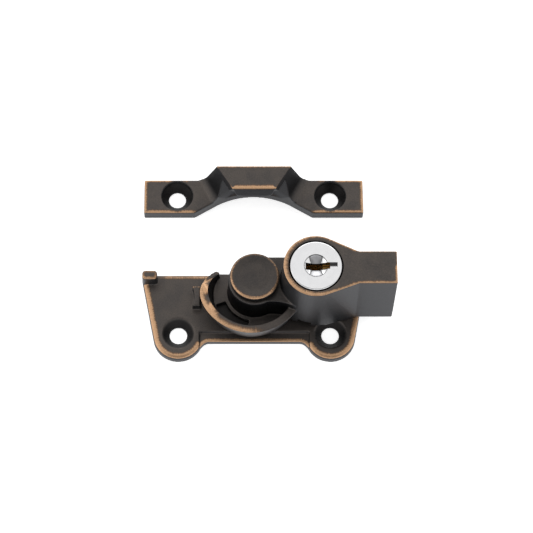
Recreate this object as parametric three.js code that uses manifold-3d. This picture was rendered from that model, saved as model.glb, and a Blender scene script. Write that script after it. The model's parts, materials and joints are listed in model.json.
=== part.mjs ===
// Key-locking window sash lock: a cam lever on a base plate, and the keeper it draws in.
// Millimetres, +Z up from the sash, +X along the meeting rail, +Y towards the keeper's sash.
// The origin lies on the mounting face, midway between the two fixing holes of the base.
// The lever is drawn open, its handle pointing along +X.
import * as THREE from 'three';
import { mergeVertices } from 'three/addons/utils/BufferGeometryUtils.js';
import Module from 'manifold-3d';

const wasm = await Module();
wasm.setup();

// ---------------------------------------------------------------- driving dimensions

const GAP = 0.3;                 // running clearance between neighbouring pieces
const SEGMENTS = 48;             // facets of a full turn on inner round pieces
const FINE_SEGMENTS = 96;        // facets of a full turn where a round surface is seen

const SCREW_HOLE_R = 2.4;        // clearance hole of a No. 8 wood screw
const COUNTERSINK_R = 4.5;

const PIVOT_Y = 11.5;            // pivot axis, ahead of the line of the fixing holes

const BASE = { thickness: 2.8, bevel: 0.9, holeX: 21, earR: 6.9, earDrop: 0.65, earInner: 214, blend: 1.7,
  frontY: -2.25, backY: 17.4, cornerX: 31.25, cornerR: 1.3, sideLean: 12.1,
  recessHalf: 15.2, recessBackY: 0.45, recessDepth: 0.8, bossR: 6.2 };
const POST = { x: -29, y: 15.8, width: 4.2, depth: 2.7, top: 6.8, cornerR: 0.9, bevel: 0.45 };
const STRIKE = { outerX: -17.2, innerX: -14.9, y: -1.5, length: 5.8, top: 5.4, hollowR: 7.8, hollowDepth: 0.6 };
const POCKET = { length: 25, half: 4.5, depth: 1.7 };    // under the base, for the drive cam and its springs

const LEVER = { under: 3.2, floorTop: 4.2, hubR: 7.2, hubTop: 13.4, floorR: 11.9, chordY: 5.5, skirt: 3.2,
  counterboreR: 5.5, counterboreTop: 5.2 };
const RIM = { from: 156, to: 334, wall: 2.3, tipWall: 1.5, swellBy: 192, flare: 1.7 };
const FLOOR_WINDOW = { inner: 8.4, outer: 11.2, from: 199, to: 260 };
const WEB = { backY: 6.8, frontY: -6.05, waistX: 6.4, rootX: 11, rootY: -7.8 };
const HOUSING = { x: 16.4, top: 23.6, topR: 8.75, footR: 9.9, tabX: 28, tabEndX: 38.25, endDraft: 0.2,
  tabBack: 4.25, tabFront: 5, footBack: 6.1, footFront: 6.9 };
const BORE = { r: 7.35, floor: 8, camR: 6.3 };
const CLOSED = 171;              // degrees that the lever turns from open to closed
const WING_CLEARANCE = { from: 6.2, to: 14, top: 4.1, openX: [7, 40], closedX: [-24, -12] };
const RELIEF = { inner: 14.5, outer: 18.3, from: -50, to: 4 };  // in the lever's foot, for the strike block
const PIN = { r: 0.9, bottom: 7.3, top: 12, angle: 225 };

const SPINDLE = { r: 2.9, neckR: 4.4, square: 4.4, stubR: 2.2, roundTop: 5 };
const CAP = { r: 6.8, bottom: 14, top: 16.35, dish: 0.45, undercut: 0.9, crown: 0.7 };
const DRIVE_CAM = { side: 6.6, bottom: 0.35, top: 1.45, cornerR: 0.8 };
const DETENT_SPRING = { half: 10.5, thickness: 0.5 };
const THRUST_WASHER = { r: 5.2, bottom: 3.2, top: 3.9 };
const WAVE_WASHER = { r: 5.1, bottom: 4.3, top: 4.6, wave: 0.12, waves: 3 };

const FACE = { r: 7.05, top: 23.75, thickness: 1.7, dishR: 3.5, dishDepth: 0.8 };
const KEYWAY = { from: -2.8, to: 5.8, ledge: 3.9, width: 1.9 };
const PLUG = { r: 5.1, bottom: 8, keyFloor: 10.3, top: 21.7 };
const SPRING_POCKET = { from: -3.3, to: 1.3, reach: 4.4 };      // about the key axis, in the plug
const SHELL = { outerR: 7, innerR: 5.4, bottom: 8.4, top: 21.7, groove: 0.55 };
const WAFERS = { count: 5, firstZ: 20.2, pitch: 2.3, thickness: 0.9, half: 4.95, width: 3.6, cornerR: 0.4,
  earFrom: -2.4, earTo: -1.55, earReach: 4.1, windowFrom: -3.2, windowHalf: 1.15,
  cuts: [1.9, 3, 2.3, 3.3, 2.6] };  // where each window ends, against its cut in the key
const SPRING = { r: 0.6, wire: 0.14, turns: 3.5, x: -0.1, y: 3.45, length: 2.1 };
const TAIL = { discR: 5.8, discBottom: 6.6, discTop: 7.7, innerR: 4.4, outerR: 5.8, halfAngle: 24, tip: 3.9 };
const TAIL_SCREW = { shankR: 0.8, headR: 1.7, headBottom: 5.75, headTop: 6.3, top: 9.6,
  slotHalf: 0.2, slotDepth: 0.3 };

const KEEPER = { holeY: 41.15, holeX: 21.65, sunk: 0.9, halfLength: 31, thickness: 3.7, top: 13, bevel: 0.3,
  frontY: -5.25, backY: 4.95, archR: 21.5, archY: 1.15, diagonalX: 11.3, cornerX: 16.7,
  humpBack: 10.4, humpFront: 5.95, humpFrontY: -2, footBack: 14.4, footFront: 11, fillet: 1.4, filletTop: 2.6,
  roof: 1.7, lipBottom: 9.9, lipHalf: 5.5, lipR: 1.8, lipLean: 1, lipBackR: 11.5, travel: 17.9 };
const CHANNEL = { roofR: 15.75, footR: 13.85 };  // about the pivot, when the keeper has come home

// ---------------------------------------------------------------- materials

const bronze = { color: 0x4a4039, roughness: 0.45, metalness: 0.8 };
const steel = { color: 0x9a9c9f, roughness: 0.35, metalness: 1 };
const brass = { color: 0xb08d4a, roughness: 0.35, metalness: 1 };
const chrome = { color: 0xe6e8ea, roughness: 0.08, metalness: 1 };

// ---------------------------------------------------------------- tools

const radians = THREE.MathUtils.degToRad;

function polar(radius, degrees) {
  return new THREE.Vector2(radius * Math.cos(radians(degrees)), radius * Math.sin(radians(degrees)));
}

function solid(geometry) {
  const bare = geometry.clone();
  bare.deleteAttribute('normal');
  bare.deleteAttribute('uv');
  const merged = mergeVertices(bare, 1e-4);
  const vertProperties = new Float32Array(merged.attributes.position.array);
  const triVerts = new Uint32Array(merged.index.array);
  return new wasm.Manifold(new wasm.Mesh({ numProp: 3, vertProperties, triVerts }));
}

function geometryOf(body) {
  const mesh = body.getMesh();
  const geometry = new THREE.BufferGeometry();
  const stride = mesh.numProp;
  const count = mesh.vertProperties.length / stride;
  const positions = new Float32Array(count * 3);
  for (let i = 0; i < count; i += 1) {
    positions.set(mesh.vertProperties.subarray(i * stride, i * stride + 3), i * 3);
  }
  geometry.setAttribute('position', new THREE.BufferAttribute(positions, 3));
  geometry.setIndex(new THREE.BufferAttribute(new Uint32Array(mesh.triVerts), 1));
  geometry.computeVertexNormals();
  return geometry;
}

function piece(name, body, finish) {
  const mesh = new THREE.Mesh(geometryOf(body), new THREE.MeshStandardMaterial(finish));
  mesh.name = name;
  return mesh;
}

// The shape as straight steps, with points that fall together taken once.
function stepped(shape, curveSegments) {
  const points = shape.getPoints(curveSegments);
  const apart = points.filter((point, i) => point.distanceTo(points.at(i - 1)) > 0.02);
  const result = new THREE.Shape(apart);
  result.holes = shape.holes ?? [];
  return result;
}

// A prism of a flat outline between two heights.
function prism(shape, bottom, top, curveSegments = 12) {
  const geometry = new THREE.ExtrudeGeometry(stepped(shape, curveSegments), { depth: top - bottom,
    bevelEnabled: false, curveSegments });
  geometry.translate(0, 0, bottom);
  return solid(geometry);
}

// A prism whose upper edge is rounded off inwards; its foot is cut square.
function roundedPrism(shape, bottom, top, bevel, curveSegments = 12) {
  const geometry = new THREE.ExtrudeGeometry(stepped(shape, curveSegments), { depth: top - bottom - bevel,
    bevelEnabled: true, bevelThickness: bevel, bevelSize: bevel, bevelOffset: -bevel, bevelSegments: 2 });
  geometry.translate(0, 0, bottom);
  return solid(geometry).intersect(box(-60, 60, -60, 80, bottom, top + 1));
}

// A prism whose points are moved by a rule, for drafted and flared walls.
function warpedPrism(shape, bottom, top, rule, curveSegments = 12, steps = 1) {
  const geometry = new THREE.ExtrudeGeometry(stepped(shape, curveSegments), { depth: top - bottom,
    steps, bevelEnabled: false, curveSegments });
  geometry.translate(0, 0, bottom);
  const position = geometry.attributes.position;
  const point = new THREE.Vector3();
  for (let i = 0; i < position.count; i += 1) {
    point.fromBufferAttribute(position, i);
    rule(point, (point.z - bottom) / (top - bottom));
    position.setXYZ(i, point.x, point.y, point.z);
  }
  return solid(geometry);
}

function box(x0, x1, y0, y1, z0, z1) {
  const geometry = new THREE.BoxGeometry(x1 - x0, y1 - y0, z1 - z0);
  geometry.translate((x0 + x1) / 2, (y0 + y1) / 2, (z0 + z1) / 2);
  return solid(geometry);
}

// A solid of revolution about the vertical through (x, y): profile is [radius, height] pairs.
function turned(profile, x = 0, y = 0, segments = SEGMENTS) {
  const points = profile.map(([radius, height]) => new THREE.Vector2(radius, height));
  const geometry = new THREE.LatheGeometry(points, segments);
  geometry.rotateX(Math.PI / 2);
  geometry.translate(x, y, 0);
  return solid(geometry);
}

function disc(radius, bottom, top, x = 0, y = 0, segments = SEGMENTS) {
  return turned([[0, bottom], [radius, bottom], [radius, top], [0, top]], x, y, segments);
}

function ring(outer, inner, bottom, top, x = 0, y = 0, segments = SEGMENTS) {
  const profile = [[inner, bottom], [outer, bottom], [outer, top], [inner, top], [inner, bottom]];
  return turned(profile, x, y, segments);
}

// An annular sector standing between two heights.
function sector(inner, outer, fromDegrees, toDegrees, bottom, top) {
  const shape = new THREE.Shape();
  shape.absarc(0, 0, outer, radians(fromDegrees), radians(toDegrees), false);
  shape.absarc(0, 0, inner, radians(toDegrees), radians(fromDegrees), true);
  shape.closePath();
  return prism(shape, bottom, top, 16);
}

function roundedRectangle(x0, x1, y0, y1, r) {
  const shape = new THREE.Shape();
  shape.moveTo(x0 + r, y0);
  shape.lineTo(x1 - r, y0);
  shape.absarc(x1 - r, y0 + r, r, -Math.PI / 2, 0, false);
  shape.lineTo(x1, y1 - r);
  shape.absarc(x1 - r, y1 - r, r, 0, Math.PI / 2, false);
  shape.lineTo(x0 + r, y1);
  shape.absarc(x0 + r, y1 - r, r, Math.PI / 2, Math.PI, false);
  shape.lineTo(x0, y0 + r);
  shape.absarc(x0 + r, y0 + r, r, Math.PI, 1.5 * Math.PI, false);
  return shape;
}

function countersink(x, y, coneTop) {
  const coneDepth = COUNTERSINK_R - SCREW_HOLE_R;
  return turned([[0, -1], [SCREW_HOLE_R, -1], [SCREW_HOLE_R, coneTop - coneDepth],
    [COUNTERSINK_R, coneTop], [COUNTERSINK_R, coneTop + 2], [0, coneTop + 2]], x, y, 64);
}

// Lays a piece drawn about its own axis onto the pivot, or onto the key cylinder.
const onPivot = (body) => body.translate([0, PIVOT_Y, 0]);
const onCylinder = (body) => body.translate([HOUSING.x, PIVOT_Y, 0]);

// ---------------------------------------------------------------- base plate

// Tapered plate with an ear round each fixing hole; the left half mirrors the right.
function baseOutline() {
  const { holeX, earR, earDrop, earInner, blend, frontY, backY, cornerX, cornerR, sideLean } = BASE;
  const foot = polar(earR, earInner);
  const shape = new THREE.Shape();
  shape.moveTo(earR + blend - holeX, frontY);
  shape.lineTo(holeX - earR - blend, frontY);
  shape.quadraticCurveTo(holeX - earR, frontY, holeX + foot.x, foot.y - earDrop);
  shape.absarc(holeX, -earDrop, earR, radians(earInner), radians(360 - sideLean), false);
  shape.absarc(cornerX - cornerR, backY - cornerR, cornerR, radians(-sideLean), radians(90), false);
  shape.absarc(cornerR - cornerX, backY - cornerR, cornerR, radians(90), radians(180 + sideLean), false);
  shape.absarc(-holeX, -earDrop, earR, radians(180 + sideLean), radians(540 - earInner), false);
  shape.quadraticCurveTo(earR - holeX, frontY, earR + blend - holeX, frontY);
  return shape;
}

// Block beside which the key cylinder's tail locks; its outer side is hollowed along its length.
function strikeBlock() {
  const { outerX, innerX, y, length, top, hollowR, hollowDepth } = STRIKE;
  const block = box(outerX, innerX, y - length / 2, y + length / 2, BASE.thickness - 0.5, top);
  const hollow = disc(hollowR, 0, top + 1, outerX - hollowR + hollowDepth, y, 64);
  return onPivot(block.subtract(hollow));
}

function stopPost() {
  const { x, y, width, depth, top, cornerR, bevel } = POST;
  const outline = roundedRectangle(x - width / 2, x + width / 2, y - depth / 2, y + depth / 2, cornerR);
  return roundedPrism(outline, BASE.thickness / 2, top, bevel, 6);
}

function basePlate() {
  const { thickness, bevel, holeX, frontY, recessHalf, recessBackY, recessDepth, bossR } = BASE;
  const recessFloor = thickness - recessDepth;
  let plate = roundedPrism(baseOutline(), 0, thickness, bevel, 24);
  plate = plate.subtract(box(-recessHalf, recessHalf, frontY - 5, recessBackY, recessFloor, thickness + 1));
  plate = plate.add(onPivot(disc(bossR, recessFloor, thickness + 0.1)));
  plate = plate.add(strikeBlock()).add(stopPost());
  const { length, half, depth } = POCKET;
  plate = plate.subtract(onPivot(box(-length / 2, length / 2, -half, half, -1, depth)));
  plate = plate.subtract(onPivot(disc(SPINDLE.r + GAP, -1, thickness + 1, 0, 0, 32)));
  for (const side of [-1, 1]) {
    plate = plate.subtract(countersink(side * holeX, 0, thickness));
  }
  return plate;
}

// Flat spring that presses on one side of the drive cam and holds the lever open or closed.
function detentSpring(side) {
  const near = DRIVE_CAM.side / 2 + GAP;
  const { half, thickness } = DETENT_SPRING;
  const y0 = side > 0 ? near : -near - thickness;
  return onPivot(box(-half, half, y0, y0 + thickness, DRIVE_CAM.bottom, DRIVE_CAM.top));
}

function thrustWasher() {
  const { r, bottom, top } = THRUST_WASHER;
  return onPivot(ring(r, SPINDLE.r + GAP, bottom, top));
}

// ---------------------------------------------------------------- lever casting

// The hooked rim, as [degrees about the pivot, outer radius, height of the crest]: it springs from a
// low thin tip that passes under the keeper's tongue, climbs and swells, then draws inwards as a cam.
const rimProfile = new THREE.CatmullRomCurve3([
  [150, 11.6, 6], [158, 12.25, 7.6], [165, 12.9, 8.8], [174, 13.9, 9.6], [184, 14.9, 10.5], [193, 15.4, 11],
  [204, 15.45, 11], [236, 14.95, 11], [262, 14.6, 11], [290, 14.2, 11], [334, 13.9, 11],
].map(([degrees, radius, crest]) => new THREE.Vector3(degrees, radius, crest)));

function rimAt(degrees) {
  let low = 0;
  let high = 1;
  for (let i = 0; i < 30; i += 1) {
    const middle = (low + high) / 2;
    if (rimProfile.getPoint(middle).x < degrees) low = middle;
    else high = middle;
  }
  const point = rimProfile.getPoint(low);
  return { radius: point.y, crest: point.z };
}

// Wall of the rim in plan, rounded off at its tip.
function rimPlan() {
  const { from, to, wall, tipWall, swellBy } = RIM;
  const steps = 64;
  const outer = [];
  const inner = [];
  for (let i = 0; i <= steps; i += 1) {
    const degrees = THREE.MathUtils.lerp(from, to, i / steps);
    const { radius } = rimAt(degrees);
    const thick = THREE.MathUtils.lerp(tipWall, wall, THREE.MathUtils.smoothstep(degrees, from, swellBy));
    outer.push(polar(radius, degrees));
    inner.unshift(polar(radius - thick, degrees));
  }
  const tip = [];
  const tipRadius = rimAt(from).radius - tipWall / 2;
  for (let turn = 150; turn >= 30; turn -= 30) {
    const across = tipWall / 2 * Math.cos(radians(turn));
    const ahead = tipWall / 2 * Math.sin(radians(turn));
    tip.push(polar(tipRadius + across, from - THREE.MathUtils.radToDeg(ahead / tipRadius)));
  }
  return new THREE.Shape([...outer, ...inner, ...tip]);
}

// The rim's wall leans outwards as it rises, apart from its tip, which is upright.
function hookedRim() {
  const { from, swellBy, flare } = RIM;
  return warpedPrism(rimPlan(), LEVER.under, LEVER.under + 1, (point, rise) => {
    const turn = THREE.MathUtils.radToDeg(Math.atan2(point.y, point.x));
    const degrees = THREE.MathUtils.euclideanModulo(turn, 360);
    const radius = Math.hypot(point.x, point.y);
    const lean = flare * THREE.MathUtils.smoothstep(degrees, from, swellBy);
    const scale = (radius - lean * (1 - rise)) / radius;
    point.x *= scale;
    point.y *= scale;
    point.z = THREE.MathUtils.lerp(LEVER.under, rimAt(degrees).crest, rise);
  });
}

function leverFloor() {
  const { under, floorTop, floorR, chordY } = LEVER;
  const plate = disc(floorR, under, floorTop, 0, 0, FINE_SEGMENTS);
  return plate.subtract(box(-20, 20, chordY, 20, under - 1, floorTop + 1));
}

// Flat-topped arm from the hub to the cylinder housing, waisted in front.
function web() {
  const { backY, frontY, waistX, rootX, rootY } = WEB;
  const shape = new THREE.Shape();
  shape.moveTo(0, backY);
  shape.lineTo(0, -LEVER.hubR + 0.2);
  shape.quadraticCurveTo(waistX, frontY + 0.9, rootX, rootY);
  shape.lineTo(HOUSING.x, rootY / 2);
  shape.lineTo(HOUSING.x, backY);
  return prism(shape, LEVER.under, LEVER.hubTop, 24);
}

// Outline of the housing's top: a circle round the key cylinder, drawn out tangentially into the tab.
function housingOutline() {
  const { x, topR, tabX, tabEndX, tabBack, tabFront } = HOUSING;
  const tangent = (side) => Math.atan2(side, tabX - x) + Math.acos(topR / Math.hypot(tabX - x, side));
  const shape = new THREE.Shape();
  shape.absarc(x, 0, topR, tangent(tabBack), 2 * Math.PI - tangent(tabFront), false);
  shape.lineTo(tabX, -tabFront);
  shape.lineTo(tabEndX, -tabFront);
  shape.lineTo(tabEndX, tabBack);
  shape.lineTo(tabX, tabBack);
  return shape;
}

// Housing and tab: drafted all round, so the foot is wider than the top.
function housing() {
  const { x, top, topR, footR, tabX, tabEndX, endDraft, tabBack, tabFront, footBack, footFront } = HOUSING;
  const round = footR / topR;
  return warpedPrism(housingOutline(), LEVER.skirt, top, (point, rise) => {
    const fall = 1 - rise;
    const along = THREE.MathUtils.clamp((point.x - x) / (tabX - x), 0, 1);
    const tab = point.y > 0 ? footBack / tabBack : footFront / tabFront;
    point.y *= THREE.MathUtils.lerp(1, THREE.MathUtils.lerp(round, tab, along * along), fall);
    if (point.x < x) point.x = x + (point.x - x) * THREE.MathUtils.lerp(1, round, fall);
    if (point.x > tabX) point.x -= endDraft * fall * (point.x - tabX) / (tabEndX - tabX);
  }, 48);
}

function leverCasting() {
  const { under, hubR, hubTop } = LEVER;
  const hub = turned([[0, under], [hubR + 0.1, under], [hubR, hubTop - 0.4], [hubR - 0.4, hubTop], [0, hubTop]],
    0, 0, FINE_SEGMENTS);
  let body = hub.add(leverFloor()).add(hookedRim()).add(web()).add(housing());
  const { inner, outer, from, to } = FLOOR_WINDOW;
  body = body.subtract(sector(inner, outer, from, to, under - 1, LEVER.floorTop + 1));
  // counterbore for the washers, and the spindle's square hole
  body = body.subtract(disc(LEVER.counterboreR, under - 1, LEVER.counterboreTop));
  const half = SPINDLE.square / 2 + GAP;
  body = body.subtract(box(-half, half, -half, half, under, hubTop + 1));
  // stepped bore for the key cylinder and its tail
  const { x } = HOUSING;
  body = body.subtract(disc(BORE.r, BORE.floor, HOUSING.top + 1, x, 0, FINE_SEGMENTS));
  body = body.subtract(disc(BORE.camR, under - 1, BORE.floor + 0.1, x, 0, 48));
  body = body.subtract(sector(RELIEF.inner, RELIEF.outer, RELIEF.from, RELIEF.to, under - 1, STRIKE.top + 0.5));
  // room over the keeper's wings, with the lever open and closed
  const { from: near, to: far, top, openX, closedX } = WING_CLEARANCE;
  body = body.subtract(box(...openX, near, far, under - 1, top));
  body = body.subtract(box(...closedX, near, far, under - 1, top).rotate([0, 0, CLOSED]));
  body = body.subtract(pinBody(GAP).translate([x, 0, 0]));
  return onPivot(body);
}

// ---------------------------------------------------------------- pivot pieces

// Spindle: square through the lever and through the drive cam, round in the base, stub in the cap.
function pivotSpindle() {
  const half = SPINDLE.square / 2;
  const round = disc(SPINDLE.r, DRIVE_CAM.top + GAP, SPINDLE.roundTop, 0, 0, 32);
  const square = box(-half, half, -half, half, DRIVE_CAM.bottom - 0.15, LEVER.hubTop + GAP);
  const neck = disc(SPINDLE.neckR, LEVER.hubTop + GAP, CAP.bottom - GAP, 0, 0, 32);
  const stub = disc(SPINDLE.stubR, CAP.bottom - 1, CAP.top - 1, 0, 0, 24);
  return onPivot(square.add(round).add(neck).add(stub));
}

function driveCam() {
  const half = DRIVE_CAM.side / 2;
  const hole = SPINDLE.square / 2 + GAP;
  const outline = roundedRectangle(-half, half, -half, half, DRIVE_CAM.cornerR);
  const plate = prism(outline, DRIVE_CAM.bottom, DRIVE_CAM.top, 4);
  return onPivot(plate.subtract(box(-hole, hole, -hole, hole, 0, 2)));
}

// Spring washer with a few waves, in the lever's counterbore.
function waveWasher() {
  const { r, bottom, top, wave, waves } = WAVE_WASHER;
  const shape = new THREE.Shape();
  shape.absarc(0, 0, r, 0, 2 * Math.PI, false);
  const hole = new THREE.Path();
  hole.absarc(0, 0, SPINDLE.r + GAP + 0.1, 0, 2 * Math.PI, true);
  shape.holes.push(hole);
  return onPivot(warpedPrism(shape, bottom, top, (point) => {
    point.z += wave * Math.sin(waves * Math.atan2(point.y, point.x));
  }, 18));
}

// Mushroom cap pressed on the spindle; its top is slightly dished.
function knobCap() {
  const { r, bottom, top, dish, undercut, crown } = CAP;
  const cap = turned([[0, bottom], [r - undercut, bottom], [r - 0.15, bottom + 0.6], [r, top - crown * 0.65],
    [r - crown / 2, top - 0.05], [r - crown, top], [r * 0.6, top - dish * 0.75], [0, top - dish]],
    0, 0, FINE_SEGMENTS);
  return onPivot(cap.subtract(disc(SPINDLE.stubR + GAP, bottom - 1, top - 1 + GAP, 0, 0, 24)));
}

// ---------------------------------------------------------------- key cylinder

function keywaySlot(bottom, top, to = KEYWAY.to) {
  const half = KEYWAY.width / 2;
  return box(KEYWAY.from, to, -half, half, bottom, top);
}

// Chromed face that covers the plug's end, with a dished centre and the key's slot.
function cylinderFace() {
  const { r, top, thickness, dishR, dishDepth } = FACE;
  const bottom = top - thickness;
  const face = turned([[0, bottom], [r, bottom], [r, top - 0.25], [r - 0.25, top], [dishR, top],
    [dishR * 0.85, top - dishDepth * 0.5], [dishR * 0.5, top - dishDepth * 0.9], [0, top - dishDepth]],
    0, 0, FINE_SEGMENTS);
  return onCylinder(face.subtract(keywaySlot(bottom - 1, top + 1)));
}

function waferHeight(index) {
  return WAFERS.firstZ - index * WAFERS.pitch;
}

// Brass plug: keyway down its length, and for each wafer a cross slot and a spring pocket.
function cylinderPlug() {
  let plug = disc(PLUG.r, PLUG.bottom, PLUG.top, 0, 0, 48);
  plug = plug.subtract(keywaySlot(PLUG.keyFloor, PLUG.top + 1, KEYWAY.ledge));
  const halfSlot = WAFERS.thickness / 2 + GAP;
  const halfWidth = WAFERS.width / 2 + GAP;
  for (let i = 0; i < WAFERS.count; i += 1) {
    const z = waferHeight(i);
    plug = plug.subtract(box(-PLUG.r - 1, PLUG.r + 1, -halfWidth, halfWidth, z - halfSlot, z + halfSlot));
    const halfPocket = halfSlot + 0.1;
    plug = plug.subtract(box(SPRING_POCKET.from, SPRING_POCKET.to, 0, SPRING_POCKET.reach, z - halfPocket,
      z + halfPocket));
  }
  plug = plug.subtract(disc(TAIL_SCREW.shankR + GAP, PLUG.bottom - 1, TAIL_SCREW.top + GAP, 0, 0, 16));
  return onCylinder(plug);
}

// Wafer tumbler: a plate with the key's window and an ear that its spring pushes.
function wafer(index) {
  const { thickness, half, width, cornerR, earFrom, earTo, earReach, windowFrom, windowHalf } = WAFERS;
  const z = waferHeight(index);
  const bottom = z - thickness / 2;
  const top = z + thickness / 2;
  const outline = roundedRectangle(-half, half - 0.1, -width / 2, width / 2, cornerR);
  let plate = prism(outline, bottom, top, 4);
  plate = plate.intersect(disc(PLUG.r - 0.1, bottom - 1, top + 1, 0, 0, 64));
  plate = plate.add(box(earFrom, earTo, width / 4, earReach, bottom, top));
  const windowTo = WAFERS.cuts[index];
  plate = plate.subtract(box(windowFrom, windowTo, -windowHalf, windowHalf, bottom - 1, top + 1));
  return onCylinder(plate);
}

// Coil spring lying along X between the pocket's end and the wafer's ear.
class CoilPath extends THREE.Curve {
  getPoint(t, target = new THREE.Vector3()) {
    const angle = 2 * Math.PI * SPRING.turns * t;
    return target.set((t - 0.5) * SPRING.length, SPRING.r * Math.cos(angle), SPRING.r * Math.sin(angle));
  }
}

function waferSpring(index) {
  const section = new THREE.Shape();
  section.absarc(0, 0, SPRING.wire, 0, 2 * Math.PI, false);
  const geometry = new THREE.ExtrudeGeometry(section, { steps: 34, curveSegments: 5, bevelEnabled: false,
    extrudePath: new CoilPath() });
  geometry.translate(SPRING.x, SPRING.y, waferHeight(index));
  return onCylinder(solid(geometry));
}

// Brass sleeve round the plug, grooved inside every quarter turn for the wafers' ends.
function cylinderShell() {
  const { outerR, innerR, bottom, top, groove } = SHELL;
  let sleeve = ring(outerR, innerR, bottom, top, 0, 0, 48);
  const half = WAFERS.width / 2 + GAP;
  const reach = innerR + groove;
  sleeve = sleeve.subtract(box(-reach, reach, -half, half, bottom - 1, top + 1));
  sleeve = sleeve.subtract(box(-half, half, -reach, reach, bottom - 1, top + 1));
  sleeve = sleeve.subtract(pinBody(GAP));
  return onCylinder(sleeve);
}

// Pin, half in the shell and half in the housing, that keeps the shell from turning.
function pinBody(clearance) {
  const { r, bottom, top, angle } = PIN;
  const centre = polar(BORE.r, angle);
  return disc(r + clearance, bottom - clearance, top + clearance, centre.x, centre.y, 16);
}

// Tail of the plug: a disc with a finger that hangs down beside the strike block when locked.
function tailCam() {
  const { discR, discBottom, discTop, innerR, outerR, halfAngle, tip } = TAIL;
  const finger = sector(innerR, outerR, -halfAngle, halfAngle, tip, discTop);
  const hole = disc(TAIL_SCREW.shankR + GAP, discBottom - 1, discTop + 1, 0, 0, 16);
  return onCylinder(disc(discR, discBottom, discTop, 0, 0, 40).add(finger).subtract(hole));
}

function tailScrew() {
  const { shankR, headR, headBottom, headTop, top, slotHalf, slotDepth } = TAIL_SCREW;
  const screw = turned([[0, headBottom], [headR - 0.2, headBottom], [headR, headTop], [shankR, headTop],
    [shankR, top], [0, top]], 0, 0, 24);
  const slot = box(-headR, headR, -slotHalf, slotHalf, headBottom - 1, headBottom + slotDepth);
  return onCylinder(screw.subtract(slot));
}

// ---------------------------------------------------------------- keeper

// Plan of the keeper, about the middle of its hole line: square back, arched front.
function keeperOutline() {
  const { halfLength, frontY, backY, archR, archY, diagonalX, cornerX } = KEEPER;
  const archCentre = archY - archR;
  const half = Math.asin(diagonalX / archR);
  const shape = new THREE.Shape();
  shape.moveTo(-halfLength, frontY);
  shape.lineTo(-cornerX, frontY);
  shape.absarc(0, archCentre, archR, Math.PI / 2 + half, Math.PI / 2 - half, true);
  shape.lineTo(cornerX, frontY);
  shape.lineTo(halfLength, frontY);
  shape.lineTo(halfLength, backY);
  shape.lineTo(-halfLength, backY);
  return shape;
}

// The hump narrows to its flat roof; its side slopes run out on to the wings in a hollow curve.
function hump() {
  const { backY, top, thickness, humpBack, humpFront, humpFrontY } = KEEPER;
  const { footBack, footFront, fillet, filletTop } = KEEPER;
  const outline = new THREE.Shape();
  outline.moveTo(-footBack, backY);
  outline.lineTo(-footFront, humpFrontY);
  outline.lineTo(footFront, humpFrontY);
  outline.lineTo(footBack, backY);
  const bottom = thickness - 0.5;
  return warpedPrism(outline, bottom, top, (point, rise) => {
    const shrink = point.y > 0 ? humpBack / footBack : humpFront / footFront;
    const aboveWing = Math.max(0, bottom + rise * (top - bottom) - thickness);
    const curve = fillet * Math.max(0, 1 - aboveWing / filletTop) ** 2;
    point.x *= THREE.MathUtils.lerp(1, shrink, rise);
    point.x += Math.sign(point.x) * curve;
  }, 12, 21);
}

// Tongue that hangs from the roof in front: it leans forwards, and its back is hollowed to run
// inside the rim.
function keeperLip(pivotAway) {
  const { top, lipHalf, lipBottom, lipR, lipLean, lipBackR, humpFrontY } = KEEPER;
  const face = roundedRectangle(-lipHalf, lipHalf, lipBottom, top + 2 * lipR, lipR);
  const reach = 2 * lipBackR;
  const slab = prism(face, -reach, reach).rotate([90, 0, 0]);
  const side = new THREE.Shape();
  side.moveTo(humpFrontY, top);
  side.lineTo(humpFrontY - lipLean, lipBottom);
  side.lineTo(reach, lipBottom);
  side.lineTo(reach, top);
  const leaning = prism(side, -lipHalf, lipHalf).rotate([90, 0, 90]);
  return slab.intersect(leaning).intersect(disc(lipBackR, 0, top, 0, -pivotAway, 128));
}

function keeper() {
  const { holeX, holeY, sunk, backY, thickness, top, bevel, roof, footBack, humpFrontY, travel } = KEEPER;
  const wings = roundedPrism(keeperOutline(), 0, thickness, bevel, 48);
  const pivotAway = holeY - travel - PIVOT_Y;
  const channelFoot = LEVER.under - 0.4;
  const roofZ = top - roof;
  const channel = turned([[0, channelFoot], [CHANNEL.footR, channelFoot], [CHANNEL.roofR, roofZ], [0, roofZ]],
    0, -pivotAway, 160);
  const raised = hump().intersect(prism(keeperOutline(), -1, top + 1, 48));
  const visor = hump().intersect(box(-footBack, footBack, humpFrontY, backY, roofZ, top + 1));
  let casting = wings.add(raised).subtract(channel).add(visor).add(keeperLip(pivotAway));
  for (const side of [-1, 1]) {
    casting = casting.subtract(countersink(side * holeX, 0, thickness - sunk));
  }
  return casting.translate([0, holeY, 0]);
}

// ---------------------------------------------------------------- assembly

const sashLock = new THREE.Group();
sashLock.name = 'window_sash_lock';

sashLock.add(piece('base_plate', basePlate(), bronze));
sashLock.add(piece('detent_spring_front', detentSpring(-1), steel));
sashLock.add(piece('detent_spring_back', detentSpring(1), steel));
sashLock.add(piece('thrust_washer', thrustWasher(), steel));

sashLock.add(piece('lever', leverCasting(), bronze));
sashLock.add(piece('pivot_spindle', pivotSpindle(), steel));
sashLock.add(piece('drive_cam', driveCam(), steel));
sashLock.add(piece('wave_washer', waveWasher(), steel));
sashLock.add(piece('knob_cap', knobCap(), bronze));

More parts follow.
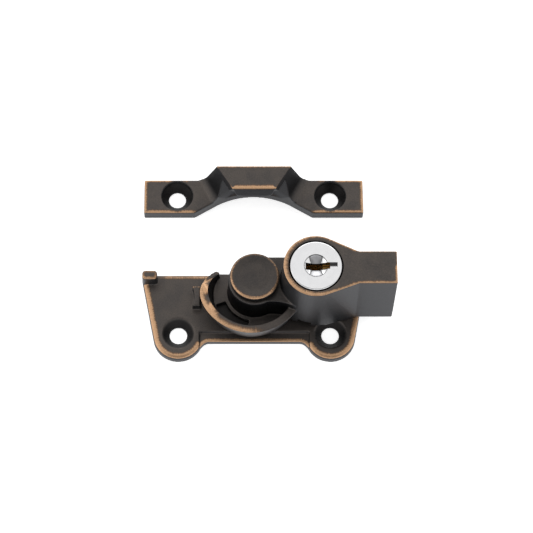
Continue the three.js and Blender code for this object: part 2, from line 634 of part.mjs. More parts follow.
sashLock.add(piece('cylinder_shell', cylinderShell(), brass));
sashLock.add(piece('shell_pin', onCylinder(pinBody(0)), steel));
sashLock.add(piece('cylinder_face', cylinderFace(), chrome));
sashLock.add(piece('cylinder_plug', cylinderPlug(), brass));
sashLock.add(piece('tail_cam', tailCam(), steel));
sashLock.add(piece('tail_screw', tailScrew(), steel));
for (let i = 0; i < WAFERS.count; i += 1) {
  sashLock.add(piece(`wafer_${i + 1}`, wafer(i), brass));
  sashLock.add(piece(`wafer_spring_${i + 1}`, waferSpring(i), steel));
}

sashLock.add(piece('keeper', keeper(), bronze));

export default sashLock;
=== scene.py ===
"""Looks of a key-locking window sash lock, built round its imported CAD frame.

The bronze castings are remeshed from their CAD nodes so that their edges are soft, and rubbed
through to copper along those edges. The chromed key face is built here. The rest keeps its CAD
shape and gets a material. Lengths are in metres, written as millimetres times MM.
"""

import json
import math

import bmesh
import bpy
import numpy as np
from mathutils import Matrix, Vector
from mathutils.kdtree import KDTree


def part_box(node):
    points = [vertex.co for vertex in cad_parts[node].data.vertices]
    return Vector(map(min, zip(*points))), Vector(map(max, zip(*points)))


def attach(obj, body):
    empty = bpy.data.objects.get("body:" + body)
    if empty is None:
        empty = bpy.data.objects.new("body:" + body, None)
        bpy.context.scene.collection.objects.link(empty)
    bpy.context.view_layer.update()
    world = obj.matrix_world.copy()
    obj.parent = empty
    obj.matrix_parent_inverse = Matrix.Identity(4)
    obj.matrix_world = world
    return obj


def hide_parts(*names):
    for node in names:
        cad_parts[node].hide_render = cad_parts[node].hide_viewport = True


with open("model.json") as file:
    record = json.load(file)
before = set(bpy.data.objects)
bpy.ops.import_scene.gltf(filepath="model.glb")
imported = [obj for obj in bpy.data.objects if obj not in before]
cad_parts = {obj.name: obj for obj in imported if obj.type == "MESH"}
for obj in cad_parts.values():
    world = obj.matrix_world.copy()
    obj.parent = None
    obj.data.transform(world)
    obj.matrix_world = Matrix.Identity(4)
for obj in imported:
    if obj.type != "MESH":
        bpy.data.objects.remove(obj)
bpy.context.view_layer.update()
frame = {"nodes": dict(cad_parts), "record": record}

MM = 0.001
NODES = frame["nodes"]

# ---------------------------------------------------------------- places taken from the frame


def middle(node):
    low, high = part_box(node)
    return (low + high) / 2


PIVOT = middle("knob_cap").xy                      # axis that the lever turns about
KEY_AXIS = middle("cylinder_face").xy              # axis of the key cylinder
HOUSING_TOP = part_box("lever")[1].z
KEEPER_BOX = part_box("keeper")
CAP_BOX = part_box("knob_cap")
FACE_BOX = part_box("cylinder_face")

# The key face's own dimensions, in millimetres about the key axis.

FACE_R = 7.05
FACE_THICKNESS = 1.7
DISH_R = 3.25
SLOT_FROM = -2.8
SLOT_LEDGE = 3.85                                  # here the slot goes on as a shallow ledge
SLOT_TO = 5.8
SLOT_HALF = 0.95
LEDGE_DEPTH = 1.5
RAMP_FOOT = 1.0                                    # half widths of the ramps that lead a key in
RAMP_HEAD = 1.85
RAMP_REACH = 2.7
RAMP_FOOT_DEPTH = 1.45
RAMP_HEAD_DEPTH = 0.30

# ---------------------------------------------------------------- camera

CAMERA_ELEVATION = 67.5
CAMERA_DISTANCE = 562.6 * MM
CAMERA_LENS = 135.1
CAMERA_TARGET = Vector((3.56, 21.03, 0)) * MM
CAMERA_STEP_LEFT = 10.6 * MM                       # the camera stands a little left of what it frames


def make_camera():
    data = bpy.data.cameras.new("camera")
    data.lens = CAMERA_LENS
    data.sensor_width = 36
    data.clip_start = 0.01
    data.clip_end = 20
    camera = bpy.data.objects.new("camera", data)
    bpy.context.scene.collection.objects.link(camera)
    tilt = math.radians(CAMERA_ELEVATION)
    back = Vector((0, -math.cos(tilt), math.sin(tilt)))
    camera.location = CAMERA_TARGET + back * CAMERA_DISTANCE - Vector((CAMERA_STEP_LEFT, 0, 0))
    field_width = CAMERA_DISTANCE * data.sensor_width / CAMERA_LENS
    data.shift_x = CAMERA_STEP_LEFT / field_width
    camera.rotation_mode = "QUATERNION"
    camera.rotation_quaternion = (-back).to_track_quat("-Z", "Y")
    bpy.context.scene.camera = camera


# ---------------------------------------------------------------- floor and light

FLOOR_HALF_WIDTH = 3.0
FLOOR_LEVEL = -0.05 * MM
LAMPS_AIM = (0, 0.02, 0)


def area_light(name, place, size, power, colour=(1, 1, 1)):
    data = bpy.data.lights.new(name, "AREA")
    data.shape = "RECTANGLE"
    data.size, data.size_y = size
    data.energy = power
    data.color = colour
    light = bpy.data.objects.new(name, data)
    bpy.context.scene.collection.objects.link(light)
    light.location = place
    light.rotation_mode = "QUATERNION"
    light.rotation_quaternion = (Vector(LAMPS_AIM) - Vector(place)).to_track_quat("-Z", "Y")


def make_floor():
    mesh = bpy.data.meshes.new("floor")
    half, level = FLOOR_HALF_WIDTH, FLOOR_LEVEL
    corners = [(-half, -half, level), (half, -half, level), (half, half, level), (-half, half, level)]
    mesh.from_pydata(corners, [], [(0, 1, 2, 3)])
    floor = bpy.data.objects.new("floor", mesh)
    bpy.context.scene.collection.objects.link(floor)
    material = bpy.data.materials.new("floor_acrylic")
    material.use_nodes = True
    shader = material.node_tree.nodes["Principled BSDF"]
    shader.inputs["Base Color"].default_value = (0.92, 0.92, 0.92, 1)
    shader.inputs["Roughness"].default_value = 0.9
    shader.inputs["Specular IOR Level"].default_value = 0
    shader.inputs["Emission Color"].default_value = (1, 1, 1, 1)
    shader.inputs["Emission Strength"].default_value = 0.70
    mesh.materials.append(material)


def make_light():
    """A bright tent with a dimmer opening above the front, and three soft lamps."""
    world = bpy.data.worlds.new("studio")
    bpy.context.scene.world = world
    world.use_nodes = True
    tree = world.node_tree
    background = tree.nodes["Background"]
    direction = tree.nodes.new("ShaderNodeTexCoord").outputs["Generated"]
    towards = tree.nodes.new("ShaderNodeVectorMath")
    towards.operation = "DOT_PRODUCT"
    tree.links.new(direction, towards.inputs[0])
    towards.inputs[1].default_value = (0, -0.45, 0.89)
    opening = tree.nodes.new("ShaderNodeMapRange")
    opening.interpolation_type = "SMOOTHSTEP"
    tree.links.new(towards.outputs["Value"], opening.inputs["Value"])
    for socket, value in (("From Min", 0.72), ("From Max", 0.97), ("To Min", 0.94), ("To Max", 0.30)):
        opening.inputs[socket].default_value = value
    tree.links.new(opening.outputs["Result"], background.inputs["Strength"])
    background.inputs["Color"].default_value = (1.0, 1.0, 1.0, 1)
    area_light("back_softbox", (0.0, 1.1, 0.55), (1.4, 0.5), 2.4)
    area_light("left_softbox", (-0.8, -0.05, 0.55), (0.6, 0.9), 0.8, (1.0, 0.97, 0.93))
    area_light("front_fill", (0.2, -0.9, 0.35), (1.2, 0.4), 0.8, (0.92, 0.95, 1.0))
    bpy.context.scene.view_settings.view_transform = "Standard"
    bpy.context.scene.view_settings.look = "None"


# ---------------------------------------------------------------- shader building


class Nodes:
    """Adds shader nodes to one material, linking sockets given as nodes' outputs."""

    def __init__(self, name):
        self.material = bpy.data.materials.new(name)
        self.material.use_nodes = True
        self.tree = self.material.node_tree
        self.shader = self.tree.nodes["Principled BSDF"]

    def add(self, kind, inputs=None, **settings):
        node = self.tree.nodes.new(kind)
        for key, value in settings.items():
            setattr(node, key, value)
        for key, value in (inputs or {}).items():
            self.put(node.inputs[key], value)
        return node

    def put(self, socket, value):
        if isinstance(value, bpy.types.NodeSocket):
            self.tree.links.new(value, socket)
        else:
            socket.default_value = value

    def attribute(self, name, output="Fac"):
        return self.add("ShaderNodeAttribute", attribute_name=name).outputs[output]

    def place(self):
        return self.add("ShaderNodeTexCoord").outputs["Object"]

    def stretched(self, vector, scale):
        return self.add("ShaderNodeMapping", {"Vector": vector, "Scale": scale}).outputs["Vector"]

    def noise(self, vector, size, detail=2.0, roughness=0.5):
        """Noise with blotches about size metres across, centred on 0.5."""
        inputs = {"Vector": vector, "Scale": 1 / size, "Detail": detail, "Roughness": roughness}
        return self.add("ShaderNodeTexNoise", inputs).outputs["Fac"]

    def math(self, operation, a, b=0.0, clamp=False):
        node = self.add("ShaderNodeMath", operation=operation, use_clamp=clamp)
        self.put(node.inputs[0], a)
        self.put(node.inputs[1], b)
        return node.outputs[0]

    def spread(self, value, low, high, to_low=0.0, to_high=1.0, smooth=False):
        inputs = {"Value": value, "From Min": low, "From Max": high, "To Min": to_low, "To Max": to_high}
        kind = "SMOOTHSTEP" if smooth else "LINEAR"
        return self.add("ShaderNodeMapRange", inputs, interpolation_type=kind).outputs["Result"]

    def mix(self, share, a, b):
        node = self.add("ShaderNodeMix", data_type="RGBA")
        self.put(node.inputs[0], share)
        for socket, value in ((node.inputs[6], a), (node.inputs[7], b)):
            self.put(socket, (*value, 1) if isinstance(value, tuple) else value)
        return node.outputs[2]

    def bump(self, height, depth, normal=None):
        inputs = {"Height": height, "Distance": depth, "Strength": 1.0}
        if normal is not None:
            inputs["Normal"] = normal
        return self.add("ShaderNodeBump", inputs).outputs["Normal"]

    def set(self, **values):
        for key, value in values.items():
            name = key.replace("_", " ")
            self.put(self.shader.inputs[name], (*value, 1) if isinstance(value, tuple) else value)


# ---------------------------------------------------------------- materials


def oil_rubbed_bronze():
    """Dark patina over cast metal, copper along the rubbed edges. Faces that look up are lighter and
    browner, partly where a brush has passed and partly as painted light from above; painted shade
    turns it near black in recesses, under parts and on shaded sides.

    It reads four attributes: rub, 1 on a rubbed edge and falling to 0 across its band; ridge, the
    nearest point of that edge; brush_and_top_light, how far a face looks up, for brushed relief and
    painted top light; painted_shade, 0 to 1, where painted shade is laid."""
    n = Nodes("oil_rubbed_bronze")
    place = n.place()
    grain = n.noise(place, 0.35 * MM, 3.0, 0.65)
    cloud = n.noise(place, 4.5 * MM, 3.0, 0.55)
    # Faces that look up are made lighter and browner than the sides: partly brushed relief, partly painted
    # light from above.
    brush_and_top_light = n.math("MULTIPLY", n.attribute("brush_and_top_light"), n.spread(cloud, 0.35, 0.65, 0.7, 1.1), clamp=True)
    cool = n.mix(n.spread(grain, 0.3, 0.7), (0.040, 0.041, 0.045), (0.059, 0.059, 0.063))
    warm = n.mix(n.spread(grain, 0.3, 0.7), (0.082, 0.073, 0.067), (0.120, 0.103, 0.092))
    # Painted shade: the colour is mixed towards near black wherever the piece's shade rule lays shade.
    patina_with_painted_light = n.mix(n.attribute("painted_shade"), n.mix(brush_and_top_light, cool, warm), (0.009, 0.009, 0.010))
    # streaks run square to the edge, because the noise is read at the edge's nearest point
    ridge = n.attribute("ridge", "Vector")
    streak = n.noise(ridge, 0.22 * MM, 3.0, 0.7)
    drift = n.noise(ridge, 3.0 * MM, 2.0, 0.5)
    ragged = n.math("ADD", n.spread(streak, 0.3, 0.7, -0.17, 0.17), n.spread(drift, 0.3, 0.7, -0.06, 0.06))
    ragged = n.math("ADD", ragged, n.spread(grain, 0.25, 0.75, -0.10, 0.10))
    rub = n.math("ADD", n.attribute("rub"), ragged)
    stained = n.spread(rub, 0.16, 0.50, smooth=True)
    bare = n.spread(rub, 0.36, 0.84, smooth=True)
    copper = n.mix(n.spread(grain, 0.3, 0.7), (0.50, 0.296, 0.162), (0.66, 0.415, 0.250))
    colour = n.mix(stained, patina_with_painted_light, (0.150, 0.098, 0.066))
    colour = n.mix(bare, colour, copper)
    rough = n.spread(grain, 0.25, 0.75, 0.40, 0.52)
    rough = n.math("SUBTRACT", rough, n.math("MULTIPLY", bare, 0.10))
    height = n.math("ADD", grain, n.math("MULTIPLY", n.noise(place, 1.4 * MM, 2.0), 0.8))
    n.set(Base_Color=colour, Roughness=rough, Metallic=0.9, Normal=n.bump(height, 0.018 * MM))
    return n.material


def ramp_inset(n, aside, along):
    """How far a point lies inside the plan of a key ramp, whose sides spread from its foot."""
    widening = (RAMP_HEAD - RAMP_FOOT) / RAMP_REACH
    half_width = n.math("ADD", n.math("MULTIPLY", along, widening), RAMP_FOOT * MM)
    return n.math("SUBTRACT", half_width, aside)


def slot_grime(n, aside, along, height):
    """A grime line down the long walls of the slot, near the top of the face."""
    from_wall = n.math("ABSOLUTE", n.math("SUBTRACT", along, SLOT_HALF * MM))
    on_wall = n.spread(from_wall, 0.03 * MM, 0.09 * MM, 0.9, 0.0)
    in_reach = n.spread(aside, (SLOT_TO + 0.02) * MM, (SLOT_TO + 0.06) * MM, 1.0, 0.0)
    below_top = n.spread(height, FACE_BOX[1].z - 0.3 * MM, FACE_BOX[1].z, 1.0, 0.0)
    return n.math("MULTIPLY", n.math("MULTIPLY", on_wall, in_reach), below_top)


def dish_grime(n, radius, inset, in_dish, ramp):
    """Grime lines round the dish's rim and along the sides of its ramps."""
    from_rim = n.math("ABSOLUTE", n.math("SUBTRACT", radius, (DISH_R - 0.06) * MM))
    rim_line = n.spread(from_rim, 0.03 * MM, 0.15 * MM)
    rim_line = n.math("MULTIPLY", n.math("SUBTRACT", 1.0, rim_line), n.spread(ramp, 0.0, 1.0, 0.42, 0.92))
    ramp_sides = n.spread(n.math("ABSOLUTE", inset), 0.03 * MM, 0.15 * MM, 0.85, 0.0)
    return n.math("MAXIMUM", rim_line, n.math("MULTIPLY", ramp_sides, in_dish))


def chrome_plate():
    """Bright nickel-chrome plate; the key face's ramps are satin, and grime lies in its corners."""
    n = Nodes("chrome_plate")
    place = n.place()
    marks = n.noise(n.stretched(place, (0.15, 1.0, 1.0)), 0.12 * MM, 2.0)
    haze = n.noise(place, 2.2 * MM, 3.0)
    plate = n.mix(n.spread(haze, 0.3, 0.7), (0.80, 0.80, 0.81), (0.86, 0.86, 0.865))
    axes = n.add("ShaderNodeSeparateXYZ", {"Vector": place}).outputs
    aside = n.math("ABSOLUTE", n.math("SUBTRACT", axes["X"], KEY_AXIS.x))
    along = n.math("ABSOLUTE", n.math("SUBTRACT", axes["Y"], KEY_AXIS.y))
    radius = n.math("SQRT", n.math("ADD", n.math("MULTIPLY", aside, aside), n.math("MULTIPLY", along, along)))
    in_dish = n.spread(radius, (DISH_R - 0.02) * MM, (DISH_R + 0.04) * MM, 1.0, 0.0)
    inset = ramp_inset(n, aside, along)
    ramp = n.math("MULTIPLY", n.spread(inset, -0.02 * MM, 0.04 * MM), in_dish)
    satin = n.mix(n.spread(inset, 0.1 * MM, 1.2 * MM), (0.40, 0.40, 0.41), (0.68, 0.68, 0.70))
    in_slot = slot_grime(n, aside, along, axes["Z"])
    grime = n.math("MAXIMUM", in_slot, dish_grime(n, radius, inset, in_dish, ramp))
    colour = n.mix(grime, n.mix(ramp, plate, satin), (0.035, 0.034, 0.036))
    rough = n.math("ADD", n.spread(haze, 0.3, 0.7, 0.08, 0.15), n.math("MULTIPLY", ramp, 0.22))
    n.set(Base_Color=colour, Roughness=rough, Metallic=1.0, Normal=n.bump(marks, 0.0012 * MM))
    return n.material


def machined(name, light, dark, rough, mark):
    """Turned metal: fine marks across it and a thin tarnish in blotches."""
    n = Nodes(name)
    place = n.place()
    marks = n.noise(n.stretched(place, (1.0, 1.0, 5.0)), mark, 3.0, 0.6)
    tarnish = n.noise(place, 1.3 * MM, 4.0, 0.6)
    colour = n.mix(n.spread(tarnish, 0.35, 0.68), light, dark)
    roughness = n.spread(marks, 0.3, 0.7, rough - 0.07, rough + 0.08)
    n.set(Base_Color=colour, Roughness=roughness, Metallic=1.0, Normal=n.bump(marks, 0.006 * MM))
    return n.material


# ---------------------------------------------------------------- cast pieces

VOXEL = 0.16 * MM
SOFTENING_PASSES = 8
MOST_TRIANGLES = 180_000
SAMPLE_STEP = 0.12 * MM
SHARP_EDGE = math.radians(17)


def up(normal_z, low, high):
    share = np.clip((normal_z - low) / (high - low), 0, 1)
    return share * share * (3 - 2 * share)


def new_piece(name, mesh, material, slot, body, *nodes):
    """A finished mesh as a piece that stands for CAD nodes and rides on their body."""
    mesh.materials.clear()
    mesh.materials.append(material)
    piece = bpy.data.objects.new(name, mesh)
    bpy.context.scene.collection.objects.link(piece)
    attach(piece, body)
    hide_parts(*nodes)
    return piece


def applied(mesh, *modifiers):
    """The mesh after modifiers, each a (kind, settings) pair."""
    worker = bpy.data.objects.new("worker", mesh)
    bpy.context.scene.collection.objects.link(worker)
    for kind, settings in modifiers:
        modifier = worker.modifiers.new(kind.lower(), kind)
        for key, value in settings.items():
            setattr(modifier, key, value)
    graph = bpy.context.evaluated_depsgraph_get()
    result = bpy.data.meshes.new_from_object(worker.evaluated_get(graph))
    bpy.data.objects.remove(worker)
    return result


def welded(node):
    """The node's mesh with its split corners joined."""
    shape = bmesh.new()
    shape.from_mesh(NODES[node].data)
    bmesh.ops.remove_doubles(shape, verts=shape.verts, dist=0.001 * MM)
    shape.normal_update()
    return shape


def rubbed_edges(shape, rule):
    """Points along the sharp outer edges that rule rubs: (place, band width, strength) each."""
    points = []
    for edge in shape.edges:
        if len(edge.link_faces) != 2 or not edge.is_convex or edge.calc_face_angle() < SHARP_EDGE:
            continue
        faces_up = max(face.normal.z for face in edge.link_faces)
        a, b = (v.co.copy() for v in edge.verts)
        steps = max(1, round((b - a).length / SAMPLE_STEP))
        for i in range(steps):
            place = a.lerp(b, (i + 0.5) / steps)
            width, strength = rule(place / MM, faces_up)
            if strength > 0:
                points.append((place, width * MM, strength))
    return points


def paint_wear_and_shade(mesh, points, shade_rule):
    """Writes the attributes that the bronze reads: rub, ridge, brush_and_top_light for brushed relief and
    painted top light, and painted_shade for painted shade.
    """
    count = len(mesh.vertices)
    normals = np.empty(count * 3, np.float32)
    places = np.empty(count * 3, np.float32)
    mesh.vertices.foreach_get("normal", normals)
    mesh.vertices.foreach_get("co", places)
    normals = normals.reshape(-1, 3)
    tree = KDTree(len(points))
    for i, (place, _, _) in enumerate(points):
        tree.insert(place, i)
    tree.balance()
    rub = np.zeros(count, np.float32)
    ridge = np.zeros((count, 3), np.float32)
    for i, vertex in enumerate(mesh.vertices):
        place, index, distance = tree.find(vertex.co)
        _, width, strength = points[index]
        rub[i] = strength * max(0.0, 1 - distance / width)
        ridge[i] = place
    rub *= up(normals[:, 2], 0.35, 0.68)
    # Painted shade, 0 to 1, from the piece's shade rule.
    painted_shade = shade_rule(places.reshape(-1, 3) / MM, normals)
    # How far a face looks up stands for brushed relief and for painted light from above.
    for name, kind, values in (("rub", "FLOAT", rub), ("brush_and_top_light", "FLOAT", up(normals[:, 2], 0.25, 0.95)),
                               ("painted_shade", "FLOAT", painted_shade), ("ridge", "FLOAT_VECTOR", ridge)):
        field = "vector" if kind == "FLOAT_VECTOR" else "value"
        attribute = mesh.attributes.new(name, kind, "POINT")
        attribute.data.foreach_set(field, np.ascontiguousarray(values, np.float32).ravel())


def casting(name, node, body, material, rub_rule, shade_rule):
    """A cast piece from its CAD node: soft edges, even triangles, and its wear, painted shade and painted top
    light written in.
    """
    shape = welded(node)
    rough_mesh = bpy.data.meshes.new(name + "_rough")
    shape.to_mesh(rough_mesh)
    remesh = ("REMESH", {"mode": "VOXEL", "voxel_size": VOXEL})
    smooth = ("SMOOTH", {"factor": 0.5, "iterations": SOFTENING_PASSES})
    fine = applied(rough_mesh, remesh, smooth)
    ratio = min(1.0, MOST_TRIANGLES / (2 * len(fine.polygons)))
    mesh = applied(fine, ("DECIMATE", {"ratio": ratio})) if ratio < 1 else fine
    mesh.polygons.foreach_set("use_smooth", [True] * len(mesh.polygons))
    paint_wear_and_shade(mesh, rubbed_edges(shape, rub_rule), shade_rule)
    shape.free()
    return new_piece(name, mesh, material, "oil_rubbed_bronze", body, node)


# Where each casting is rubbed: a rule gives the band's width in millimetres and its strength, about 0
# to 1, at a point in millimetres. faces_up is how far the more level of the edge's two faces looks up.

NOT_RUBBED = (1.0, 0.0)
SCREW_RIM_R = 5.2
PLATE_TOP = 2.8                                    # the base
BASE_SCREW_X = 21
BASE_BACK_EDGE_Y = 15.5
POST_SIDE_X = -26
BOSS_R = 8                                         # under the lever
RECESS_END_X = 15.2                                # along the base's front
RECESS_MOUTH_Y = -5.2
BORE_RIM_R = 7.9                                   # round the key face
TAB_FROM_X = 11                                    # the handle tab, from the key axis
CREST_FROM_Z = 6                                   # the hooked rim
CREST_FROM_DEGREES = 148
WING_TOP = 3.7                                     # the keeper
ROOF_FROM_Z = 12.5
WING_END_X = 30
KEEPER_SCREW_X = 21.65
KEEPER_LINE_Y = KEEPER_BOX[1].y / MM - 4.95        # its screws stand 4.95 in front of its back


def share(value, low, high):
    """0 at low, 1 at high, and in proportion between."""
    return min(1.0, max(0.0, (value - low) / (high - low)))


def near_screw(p, half_span, line_y):
    return math.hypot(abs(p.x) - half_span, p.y - line_y) < SCREW_RIM_R


def base_rule(p, faces_up):
    pivot_y = PIVOT.y / MM
    if faces_up < 0.3 or p.z < 1 or near_screw(p, BASE_SCREW_X, 0):
        return NOT_RUBBED
    if p.x < POST_SIDE_X and p.z > PLATE_TOP + 0.5:            # stop post
        front = share(-p.y, -16.0, -14.6)
        return 0.7, 0.55 + 0.40 * front
    if p.z > PLATE_TOP + 0.2:                          # strike block
        return (0.7, 0.70) if p.y > pivot_y + 0.9 else (0.5, 0.22)
    if math.hypot(p.x, p.y - pivot_y) < BOSS_R:
        return NOT_RUBBED
    if p.y > BASE_BACK_EDGE_Y:
        return 0.9, 0.70 * share(p.x, -28, -24)
    if abs(abs(p.x) - RECESS_END_X) < 0.3 and p.y > RECESS_MOUTH_Y:
        return NOT_RUBBED
    if abs(p.x) < RECESS_END_X:
        return (1.2, 1.55) if p.y < -1 else NOT_RUBBED
    return 1.15, 1.06


def lever_rule(p, faces_up):
    about_pivot = Vector((p.x - PIVOT.x / MM, p.y - PIVOT.y / MM))
    about_key = Vector((p.x - KEY_AXIS.x / MM, p.y - KEY_AXIS.y / MM))
    if faces_up < 0.3:
        return NOT_RUBBED
    if p.z > HOUSING_TOP / MM - 0.5:                   # top of the housing and its tab
        if about_key.length < BORE_RIM_R:
            return NOT_RUBBED
        if about_key.x > TAB_FROM_X:
            return (0.9, 1.12) if about_key.y < 0 else (0.6, 0.72)
        towards_hub = share(-about_key.x - 0.35 * about_key.y, -4, 4)
        back = share(about_key.y, -2, 6)
        return 0.9 + 0.95 * towards_hub, 1.10 - 0.25 * back
    turn = math.degrees(math.atan2(about_pivot.y, about_pivot.x)) % 360
    inner_edge = 10.6 + 3.1 * share(turn, 150, 190) - 1.2 * share(turn, 210, 300)
    if p.z > CREST_FROM_Z and turn > CREST_FROM_DEGREES and about_pivot.length > inner_edge:
        fade = share(-turn, -288, -262)
        tip = 0.30 + 0.75 * share(turn, 160, 182)
        return 1.2 + 1.1 * share(turn, 165, 190), fade * tip
    return NOT_RUBBED


def cap_rule(p, faces_up):
    about_pivot = math.hypot(p.x - PIVOT.x / MM, p.y - PIVOT.y / MM)
    if faces_up < 0.3 or p.z < CAP_BOX[1].z / MM - 1 or about_pivot < CAP_BOX[1].x / MM - 0.5:
        return NOT_RUBBED
    front = share(PIVOT.y / MM - p.y, -6, 6)
    return 0.75, 0.50 + 0.45 * front


def keeper_rule(p, faces_up):
    from_line = p.y - KEEPER_LINE_Y
    aside = abs(p.x)
    if faces_up < 0.3 or near_screw(p, KEEPER_SCREW_X, KEEPER_LINE_Y) or p.z < 2:
        return NOT_RUBBED
    if p.z > ROOF_FROM_Z:
        if from_line > 4.5:
            return 0.8, 0.85
        if from_line < -1.7:
            return 1.55, 1.42
        return 0.5, 0.55 * share(-from_line, 0.2, 1.6)
    if p.z > WING_TOP + 0.3:
        return NOT_RUBBED
    if aside > WING_END_X:
        return 0.9, 0.85
    if from_line > 4.4:
        return 0.75, 0.78 * share(aside, 17, 20)
    return 0.9, 1.0 * share(aside, 15.5, 17.5)


# Painted shade in a casting, laid where shade falls: arrays of places in millimetres and of normals give 0 to
# 1.


# Painted shade in the countersinks of a pair of screws, deepening below the face.
def in_countersink(places, half_span, line_y, face_z):
    radius = np.hypot(np.abs(places[:, 0]) - half_span, places[:, 1] - line_y)
    deep = up(face_z - places[:, 2], 0.0, 0.7)
    return np.where(radius < 4.9, 0.80 * deep, 0.0)


def base_shade(places, normals):
    from_pivot = np.hypot(places[:, 0] - PIVOT.x / MM, places[:, 1] - PIVOT.y / MM)
    # Painted shadow on the base under the lever, and painted shade in the countersinks.
    under_lever = 0.75 * up(-from_pivot, -12.6, -11.4)
    return np.maximum(under_lever, in_countersink(places, BASE_SCREW_X, 0, PLATE_TOP))


def lever_shade(places, normals):
    about_pivot = np.hypot(places[:, 0] - PIVOT.x / MM, places[:, 1] - PIVOT.y / MM)
    height = places[:, 2]
    # Painted shade on the rim's inner walls, the hub's side and the web's front, and a painted shadow on the
    # web's top under the cap and housing.
    walls = (about_pivot < 12.9) & (height > 4.5) & (height < 13.1)
    web_top = (about_pivot < 11) & (height >= 13.1) & (height < 15)
    return np.where(walls, 0.72 * up(-normals[:, 2], -0.9, -0.6), np.where(web_top, 0.30, 0.0))


def cap_shade(places, normals):
    # Painted shade over the whole cap, deeper on its sides and underside.
    return 0.25 + 0.50 * up(-normals[:, 2], -0.8, -0.3)


def keeper_shade(places, normals):
    # Painted shade on the hump's slanting sides, and in the countersinks.
    sides = up(np.abs(normals[:, 0]), 0.30, 0.60) * up(places[:, 2], WING_TOP + 0.2, WING_TOP + 2.5)
    sides *= up(normals[:, 2], 0.1, 0.3)
    return np.maximum(0.76 * sides, in_countersink(places, KEEPER_SCREW_X, KEEPER_LINE_Y, WING_TOP))


# ---------------------------------------------------------------- key face

LATHE_SEGMENTS = 144
CUT_CLEAR = 1.0                                    # how far a cutter runs past the face it cuts
LEVEL_ENOUGH = 0.9999                              # normals this upright belong to the flat rim


def lathe(profile):
    """A closed turning of (radius, height) pairs that starts and ends on the axis."""
    shape = bmesh.new()
    turns = [2 * math.pi * i / LATHE_SEGMENTS for i in range(LATHE_SEGMENTS)]
    rings = []
    for radius, height in profile:
        if radius == 0:
            rings.append([shape.verts.new((0, 0, height))])
            continue
        rings.append([shape.verts.new((radius * math.cos(t), radius * math.sin(t), height)) for t in turns])
    for low, high in zip(rings, rings[1:]):
        for i in range(LATHE_SEGMENTS):
            k = (i + 1) % LATHE_SEGMENTS
            corners = [low[i % len(low)], low[k % len(low)], high[k % len(high)], high[i % len(high)]]
            shape.faces.new(list(dict.fromkeys(corners)))
    bmesh.ops.recalc_face_normals(shape, faces=shape.faces)
    return shape


def prism_between(lower, upper):
    """A closed solid between two outlines with the same number of points."""
    shape = bmesh.new()
    low = [shape.verts.new(p) for p in lower]
    high = [shape.verts.new(p) for p in upper]
    count = len(low)
    for i in range(count):
        k = (i + 1) % count
        shape.faces.new((low[i], low[k], high[k], high[i]))
    shape.faces.new(low[::-1])
    shape.faces.new(high)
    bmesh.ops.recalc_face_normals(shape, faces=shape.faces)
    return shape


def finished(shape, name):
    mesh = bpy.data.meshes.new(name)
    shape.to_mesh(mesh)
    shape.free()
    return mesh


def cut(mesh, cutter_mesh):
    cutter = bpy.data.objects.new("cutter", cutter_mesh)
    bpy.context.scene.collection.objects.link(cutter)
    result = applied(mesh, ("BOOLEAN", {"operation": "DIFFERENCE", "solver": "EXACT", "object": cutter}))
    bpy.data.objects.remove(cutter)
    return result


def block(x0, x1, y0, y1, z0, z1):
    outline = [(x0, y0), (x1, y0), (x1, y1), (x0, y1)]
    return finished(prism_between([(*p, z0) for p in outline], [(*p, z1) for p in outline]), "block")


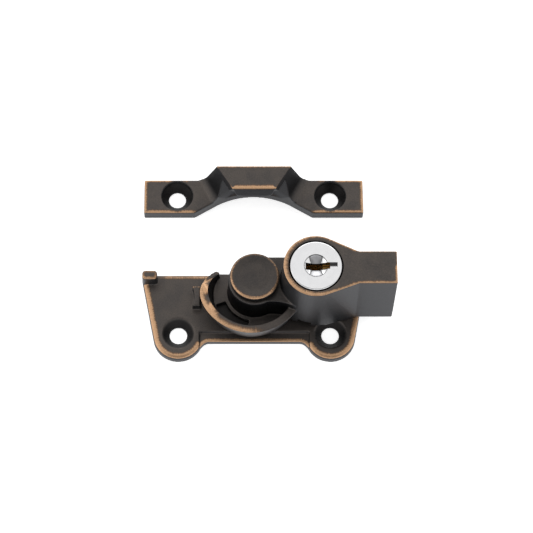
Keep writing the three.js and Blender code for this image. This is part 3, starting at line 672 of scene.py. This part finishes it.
def key_face(material):
    """Chromed disc with a dished middle, the key's slot, and a ramp on each side that leads a key in."""
    top = FACE_BOX[1].z / MM
    bottom = top - FACE_THICKNESS
    profile = [(0, bottom), (FACE_R, bottom), (FACE_R, top - 0.30), (FACE_R - 0.06, top - 0.16),
               (FACE_R - 0.17, top - 0.05), (FACE_R - 0.32, top), (DISH_R + 0.04, top),
               (DISH_R - 0.04, top - 0.06), (DISH_R - 0.12, top - 0.26), (2.9, top - 0.42),
               (2.3, top - 0.70), (1.5, top - 0.95), (0.8, top - 1.06), (0, top - 1.10)]
    mesh = finished(lathe(profile), "face_blank")
    above, below = top + CUT_CLEAR, bottom - CUT_CLEAR
    mesh = cut(mesh, block(SLOT_FROM, SLOT_LEDGE, -SLOT_HALF, SLOT_HALF, below, above))
    mesh = cut(mesh, block(SLOT_LEDGE - 0.1, SLOT_TO, -SLOT_HALF, SLOT_HALF, top - LEDGE_DEPTH, above))
    for side in (-1, 1):
        foot_y = SLOT_HALF - 0.3
        plan = [(-RAMP_FOOT, foot_y), (RAMP_FOOT, foot_y), (RAMP_HEAD, RAMP_REACH), (-RAMP_HEAD, RAMP_REACH)]
        heights = [top - RAMP_FOOT_DEPTH] * 2 + [top - RAMP_HEAD_DEPTH] * 2
        low = [(x, side * y, z) for (x, y), z in zip(plan, heights)]
        high = [(x, side * y, above) for x, y in plan]
        mesh = cut(mesh, finished(prism_between(low, high), "ramp"))
    bevel = {"width": 0.04, "segments": 2, "limit_method": "ANGLE", "angle_limit": math.radians(30)}
    mesh = applied(mesh, ("BEVEL", bevel))
    mesh.transform(Matrix.Translation((KEY_AXIS.x, KEY_AXIS.y, 0)) @ Matrix.Scale(MM, 4))
    shape = bmesh.new()
    shape.from_mesh(mesh)
    bmesh.ops.remove_doubles(shape, verts=shape.verts, dist=0.002 * MM)
    shape.normal_update()
    for face in shape.faces:
        face.smooth = face.normal.z < LEVEL_ENOUGH
    for edge in shape.edges:
        edge.smooth = len(edge.link_faces) == 2 and edge.calc_face_angle() < math.radians(24)
    mesh = finished(shape, "key_face")
    return new_piece("key_face", mesh, material, "chrome_plate", "plug", "cylinder_face")


# ---------------------------------------------------------------- making


def dress_cad_nodes():
    """Materials for the nodes that keep their CAD shape."""
    brass = machined("brass", (0.74, 0.52, 0.22), (0.50, 0.32, 0.12), 0.28, 0.15 * MM)
    spring = machined("spring_steel", (0.42, 0.42, 0.43), (0.30, 0.30, 0.31), 0.33, 0.2 * MM)
    zinc = machined("zinc_plated_steel", (0.66, 0.67, 0.68), (0.50, 0.51, 0.54), 0.34, 0.2 * MM)
    by_slot = {"brass": brass, "spring_steel": spring, "zinc_plated_steel": zinc}
    for row in frame["record"]["subparts"]:
        material = by_slot.get(row["material_slot"])
        if material is None:
            continue
        node = NODES[row["node"]]
        node.data.materials.clear()
        node.data.materials.append(material)


make_camera()
make_floor()
make_light()
bronze = oil_rubbed_bronze()
dress_cad_nodes()
casting("base_casting", "base_plate", "base", bronze, base_rule, base_shade)
casting("lever_casting", "lever", "lever", bronze, lever_rule, lever_shade)
casting("cap_casting", "knob_cap", "lever", bronze, cap_rule, cap_shade)
casting("keeper_casting", "keeper", "keeper", bronze, keeper_rule, keeper_shade)
key_face(chrome_plate())
